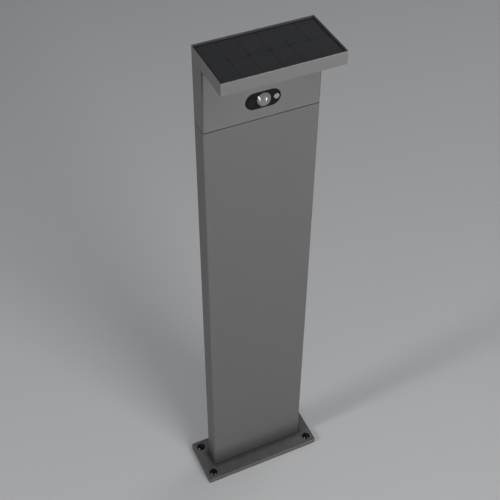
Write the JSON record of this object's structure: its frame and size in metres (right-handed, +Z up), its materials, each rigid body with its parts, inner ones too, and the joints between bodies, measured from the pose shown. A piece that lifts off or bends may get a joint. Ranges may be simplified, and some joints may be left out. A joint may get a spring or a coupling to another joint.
{
  "type": "solar bollard lamp",
  "caption": "Slim solar garden bollard: a flat column on a base plate, with an overhanging roof that carries a solar panel above and a light below, and a motion sensor window in front.",
  "frame": {"origin": "centre of the base plate's underside, midway between the anchor holes", "axes": "+Z up the column, -Y towards the front, where the roof overhangs and the sensor window looks, +X to the viewer's right when facing along +Y"},
  "size_m": [0.195, 0.1085, 0.8],
  "materials": {
    "anthracite_paint": "fine matt textured powder coat, anthracite grey, on aluminium",
    "black_gloss": "glossy moulded black plastic",
    "black_plastic": "matt moulded black plastic",
    "black_rubber": "soft black seal rubber",
    "button_rubber": "satin black silicone",
    "stainless": "plain stainless steel",
    "bare_aluminium": "bare rolled aluminium",
    "nickel": "nickel-plated strip",
    "panel_glass": "clear tempered cover glass",
    "solar_cell": "near-black monocrystalline cell with fine grid lines",
    "opal_plastic": "opal light-spreading plastic",
    "white_plastic": "white moulded plastic",
    "white_board": "white solder mask on an aluminium-core board",
    "led_phosphor": "yellow phosphor",
    "lens_plastic": "milky grey polyethylene lens",
    "eye_plastic": "milky white plastic",
    "green_board": "green solder mask on glass-fibre board",
    "cell_wrap": "blue shrink wrap on a steel cell",
    "lead_insulation": "lead insulation"
  },
  "bodies": {
    "lamp": {"base_plate": "anthracite_paint", "anchor_caps": "black_gloss", "foot_screws": "stainless", "foot_gasket": "black_rubber", "column": "anthracite_paint", "neck_adapter": "black_plastic", "column_joint_screws": "stainless", "head_joint_screws": "stainless", "head_housing": "anthracite_paint", "panel_glass": "panel_glass", "solar_cells": "solar_cell", "panel_backsheet": "black_plastic", "panel_seal": "black_rubber", "heat_spreader": "bare_aluminium", "spreader_screws": "stainless", "led_board": "white_board", "led_chips": "led_phosphor", "reflector": "white_plastic", "diffuser": "opal_plastic", "diffuser_seal": "black_rubber", "sensor_bezel": "black_gloss", "bezel_seal": "black_rubber", "pir_lens": "lens_plastic", "pir_spacer": "black_plastic", "pir_sensor": "stainless", "light_eye": "eye_plastic", "photocell": "black_plastic", "tact_switch": "black_plastic", "control_board": "green_board", "board_screws": "stainless", "board_parts": "black_plastic", "lead_sockets": "white_plastic", "battery_cells": "cell_wrap", "battery_holder": "black_plastic", "battery_contacts": "nickel", "holder_screws": "stainless", "solar_leads": "lead_insulation", "led_leads": "lead_insulation", "battery_leads": "lead_insulation"},
    "mode_button": {"mode_button": "button_rubber", "button_ring": "black_rubber", "switch_plunger": "white_plastic"}
  },
  "joints": [
    {"name": "mode_button_press", "type": "slide", "parent": "lamp", "child": "mode_button", "axis": [0, 1, 0], "range_m": [0, 0.001], "stiffness_N_per_m": 600, "springref_m": -0.001}
  ]
}
